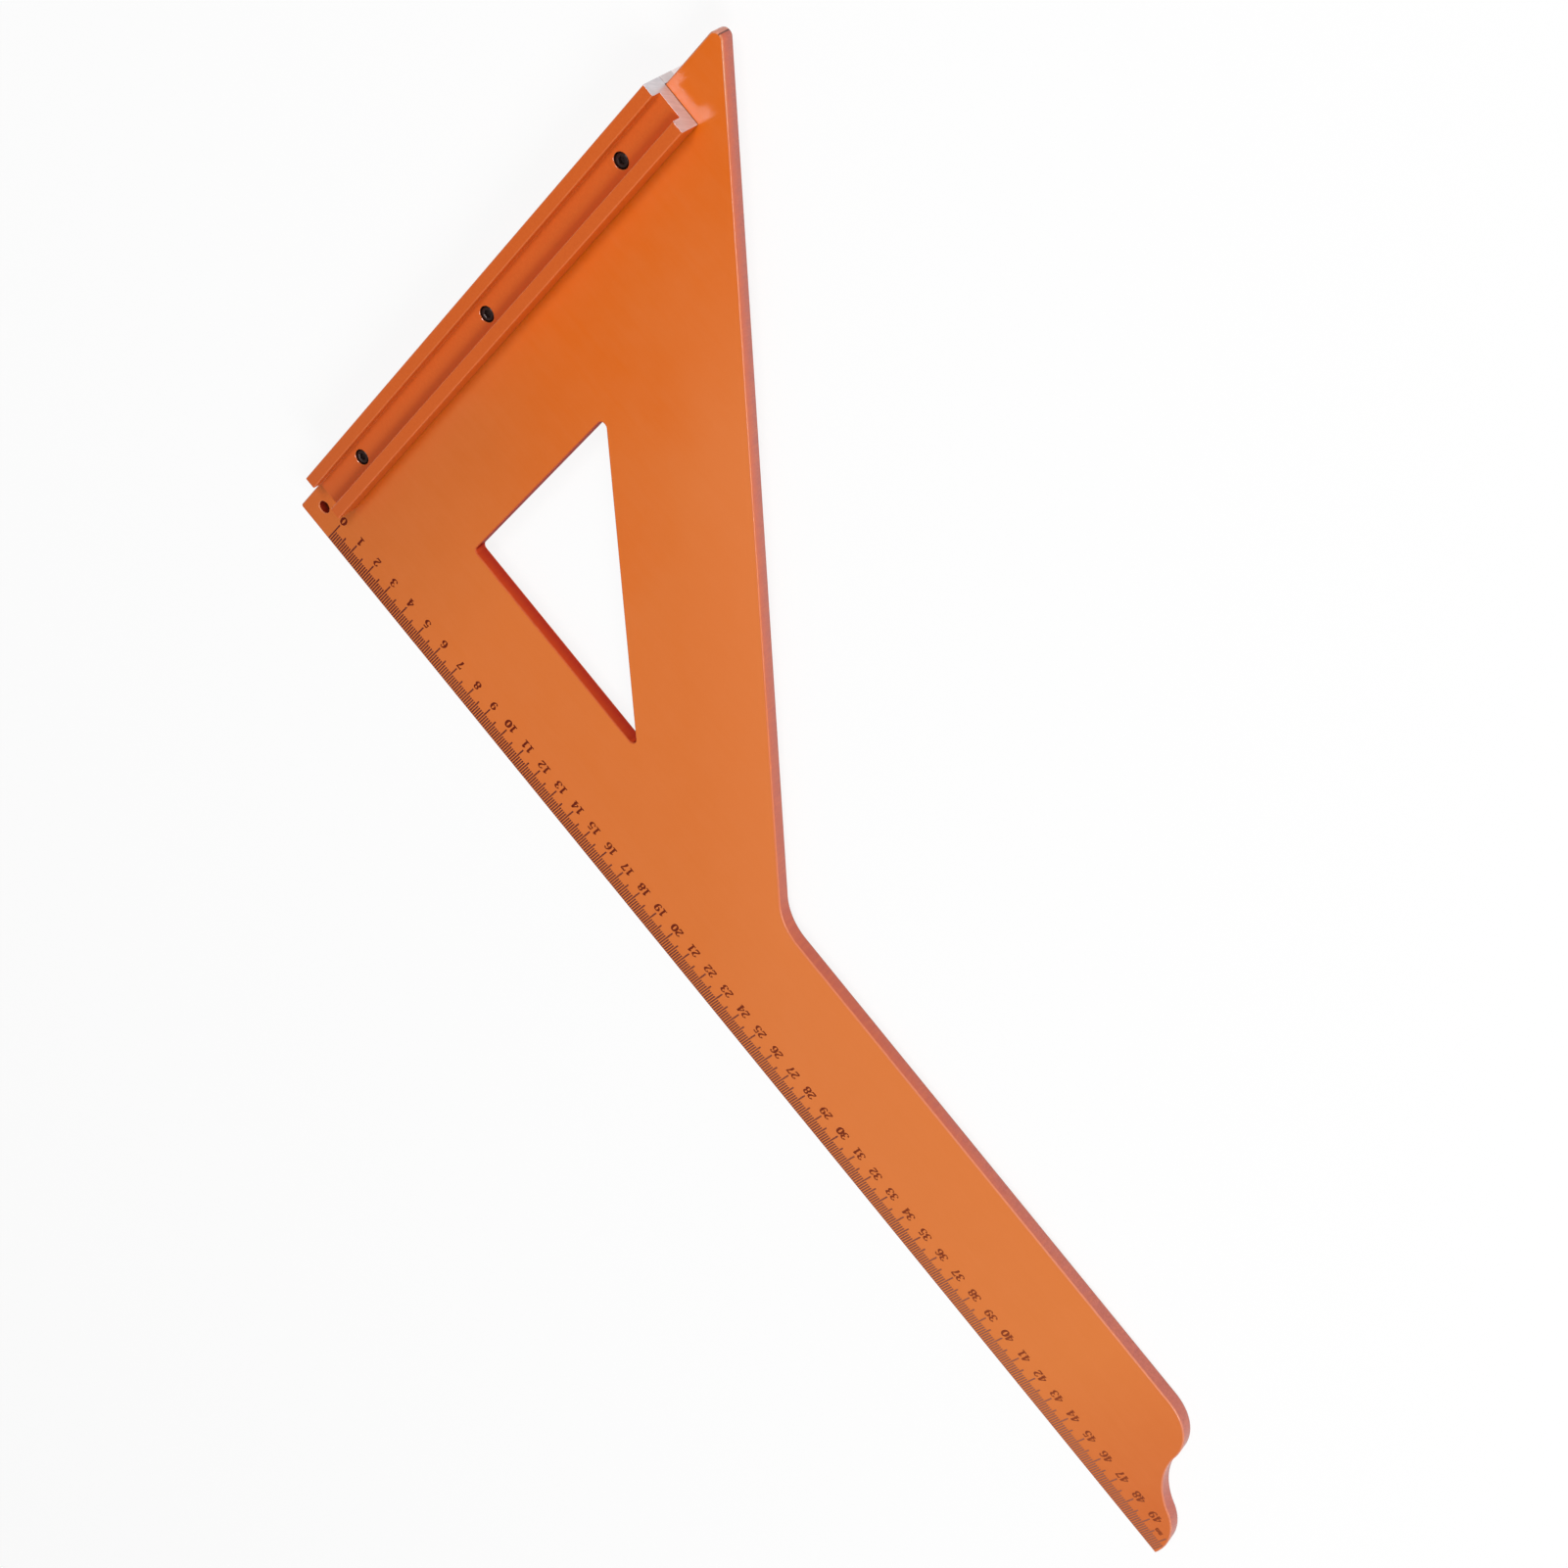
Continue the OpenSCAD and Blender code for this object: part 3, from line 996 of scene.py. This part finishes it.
head_top = screw_high.z
thread_end = screw_low.z + point_break
screw_rings = [
    circle_ring(shank_r - point_break, screw_low.z),
    circle_ring(shank_r - thread_depth, thread_end),
]
thread_count = int((mid_z - thread_end) / thread_pitch)
for i in range(thread_count):
    root = thread_end + i * thread_pitch
    screw_rings.append(circle_ring(shank_r, root + thread_pitch * 0.4))
    screw_rings.append(circle_ring(shank_r, root + thread_pitch * 0.55))
    screw_rings.append(circle_ring(shank_r - thread_depth, root + thread_pitch))
screw_rings += [
    circle_ring(shank_r, mid_z + neck),
    circle_ring(shank_r, seat_z),
    circle_ring(head_r - knurl_depth, seat_z),
    circle_ring(head_r, seat_z + knurl_foot, knurl_depth),
    circle_ring(head_r, head_top - knurl_top, knurl_depth),
]
for drawn_in, depth in crown_steps:
    screw_rings.append(circle_ring(head_r - drawn_in * MM, head_top - depth * MM))
screw_rings += [
    hex_ring(socket_across + 2 * socket_flare, head_top),
    hex_ring(socket_across, head_top - socket_flare),
    hex_ring(socket_across, head_top - socket_depth),
]
for low, high in zip(screw_rings, screw_rings[1:]):
    for i in range(screw_sides):
        j = (i + 1) % screw_sides
        screw_mesh.faces.new((low[i], low[j], high[j], high[i]))
screw_mesh.faces.new(screw_rings[0])
socket_floor = screw_mesh.verts.new((0, 0, head_top - socket_depth - socket_cone))
for i in range(screw_sides):
    screw_mesh.faces.new((screw_rings[-1][i], screw_rings[-1][(i + 1) % screw_sides], socket_floor))
bmesh.ops.recalc_face_normals(screw_mesh, faces=screw_mesh.faces)
screw_data = bpy.data.meshes.new("cap_screw")
screw_mesh.to_mesh(screw_data)
screw_mesh.free()
cap_screw = bpy.data.objects.new("cap_screw", screw_data)
bpy.context.collection.objects.link(cap_screw)

black_oxide, shader, place = new_finish("black_oxide_steel")
oil = place.noise(900, 3).between(0.3, 0.7)
rubbed = place.noise(2600, 2).between(0.55, 0.8)
feed(
    shader,
    Base_Color=(rubbed * 0.3).blend(srgb(50, 34, 31), srgb(86, 84, 90)),
    Metallic=0.4,
    Roughness=0.24 + oil * 0.14,
    Normal=bumped(place, oil, 0.15, 0.02 * MM),
    Specular_IOR_Level=0.4,
)

graph = Graph("cap_screws")
pattern = graph.size("Screw", "NodeSocketObject", cap_screw)
across_x = graph.size("Channel Centre", "NodeSocketFloat", screw_x)
first_y = graph.size("First", "NodeSocketFloat", screw_ys[0])
pitch = graph.size("Pitch", "NodeSocketFloat", (screw_ys[2] - screw_ys[0]) / 2)
middle = graph.size("Middle Shift", "NodeSocketFloat", screw_ys[1] - (screw_ys[0] + screw_ys[2]) / 2)
first_point = graph.vector(across_x, first_y, 0.0)
line = graph.node(
    "GeometryNodeMeshLine",
    {"mode": "OFFSET"},
    {"Count": 3, "Start Location": first_point, "Offset": graph.vector(0.0, pitch, 0.0)},
)
number = graph.node("GeometryNodeInputIndex", {}, {})
is_middle = graph.maths("COMPARE", number, 1.0, 0.1)
nudge = graph.vector(0.0, graph.maths("MULTIPLY", is_middle, middle), 0.0)
places = graph.node("GeometryNodeSetPosition", {}, {"Geometry": line, "Offset": nudge})
turn_range = {"Min": 0.0, "Max": pi / 3, "Seed": 7}
turn = graph.node("FunctionNodeRandomValue", {"data_type": "FLOAT"}, turn_range, 1)
shape = graph.node("GeometryNodeObjectInfo", {}, {"Object": pattern}, "Geometry")
heads = graph.node(
    "GeometryNodeInstanceOnPoints",
    {},
    {"Points": places, "Instance": shape, "Rotation": graph.vector(0.0, 0.0, turn)},
)
cap_screws = graph.mesh("cap_screws", heads, black_oxide)
cap_screws.data.shade_smooth()
cap_screws.data.set_sharp_from_angle(angle=radians(35))
bpy.data.objects.remove(cap_screw)
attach(cap_screws, "root")
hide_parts("screw_low", "screw_mid", "screw_high")


# Floor
# A plain white studio table whose far rim runs up into a cove, so that it is the backdrop too.
# It leans by the degree that the tool leans when its fence and its nose both rest.
cove_rings = ((4.0, 0.0), (5.0, 0.2), (6.0, 1.0), (6.4, 3.0))
cove_steps = 48
floor_gap = 0.05 * MM
glow_share = 0.88
rest_front = Vector((front_x, 0, foot_z))
rest_nose = Vector((nose_end, 0, blade_low.z))
floor_lean = (rest_nose.z - rest_front.z) / (rest_nose.x - rest_front.x)
floor_mesh = bmesh.new()
levels = []
for reach, rise in cove_rings:
    flat_z = rest_front.z - floor_gap + rise
    level = []
    for point in arc((0, 0), reach, 0, 360, cove_steps)[:-1]:
        lean = floor_lean * (point.x - rest_front.x)
        level.append(floor_mesh.verts.new((point.x, point.y, flat_z + lean)))
    levels.append(level)
floor_mesh.faces.new(levels[0])
for inner, outer in zip(levels, levels[1:]):
    for i in range(cove_steps):
        j = (i + 1) % cove_steps
        floor_mesh.faces.new((inner[i], outer[i], outer[j], inner[j]))
floor_data = bpy.data.meshes.new("studio_table")
floor_mesh.to_mesh(floor_data)
floor_mesh.free()
studio_table = bpy.data.objects.new("studio_table", floor_data)
bpy.context.collection.objects.link(studio_table)
white_table, shader, place = new_finish("white_table")
feed(shader, Base_Color=srgb(238, 238, 238), Roughness=0.9, Specular_IOR_Level=0.1)
tree = white_table.node_tree
paths = tree.nodes.new("ShaderNodeLightPath")
camera_ray = Wire(tree, paths.outputs["Is Camera Ray"])
glossy_ray = Wire(tree, paths.outputs["Is Glossy Ray"])
clear_ray = Wire(tree, paths.outputs["Is Transmission Ray"])
seen = (camera_ray + glossy_ray + clear_ray).at_most(1.0)
paint = Wire(tree, shader.outputs[0])
glow = seen.node("ShaderNodeEmission", {}, {"Color": (1, 1, 1, 1), "Strength": 1.0})
table_look = seen.node("ShaderNodeMixShader", {}, {0: seen * glow_share, 1: paint, 2: glow})
tree.links.new(table_look.output, tree.nodes["Material Output"].inputs["Surface"])
floor_data.materials.append(white_table)


# Light
# A plain grey room, with one soft box above the camera, so that the bare end shines on the blade,
# and a weaker one on the nose's side.
room_level = 0.3
world = bpy.data.worlds.new("grey_room")
bpy.context.scene.world = world
world.use_nodes = True
world.node_tree.nodes["Background"].inputs["Color"].default_value = (1, 1, 1, 1)
world.node_tree.nodes["Background"].inputs["Strength"].default_value = room_level
tool_middle = Vector((0.2, 0.12, 0))
for name, spot, side, power in (
    ("front_box", Vector((-0.56, 2.11, 2.30)), 0.85, 46),
    ("side_box", Vector((1.3, 0.65, 1.3)), 0.8, 19),
):
    lamp = bpy.data.lights.new(name, "AREA")
    lamp.size = side
    lamp.energy = power
    box = bpy.data.objects.new(name, lamp)
    box.location = spot
    box.rotation_mode = "QUATERNION"
    box.rotation_quaternion = (tool_middle - spot).to_track_quat("-Z", "Y")
    bpy.context.collection.objects.link(box)


# Camera
# It looks down on the printed face at about 45 degrees from the tip's side, rolled so that the tip
# points up. Its lens is given in pixels of the picture.
image_px = 1601
camera_place = Vector((0.15747, 0.82724, 0.70399))
camera_aim = Vector((0.18093, 0.10872, 0))
camera_roll = 130.4
focal_px = 2884.0
camera_data = bpy.data.cameras.new("camera")
camera_data.sensor_width = 36
camera_data.lens = focal_px * camera_data.sensor_width / image_px
camera_data.clip_start = 0.01
camera = bpy.data.objects.new("camera", camera_data)
camera.location = camera_place
camera.rotation_mode = "QUATERNION"
level = (camera_aim - camera_place).to_track_quat("-Z", "Y")
camera.rotation_quaternion = level @ Quaternion((0, 0, 1), radians(-camera_roll))
bpy.context.collection.objects.link(camera)
bpy.context.scene.camera = camera
bpy.context.scene.view_settings.view_transform = "Standard"
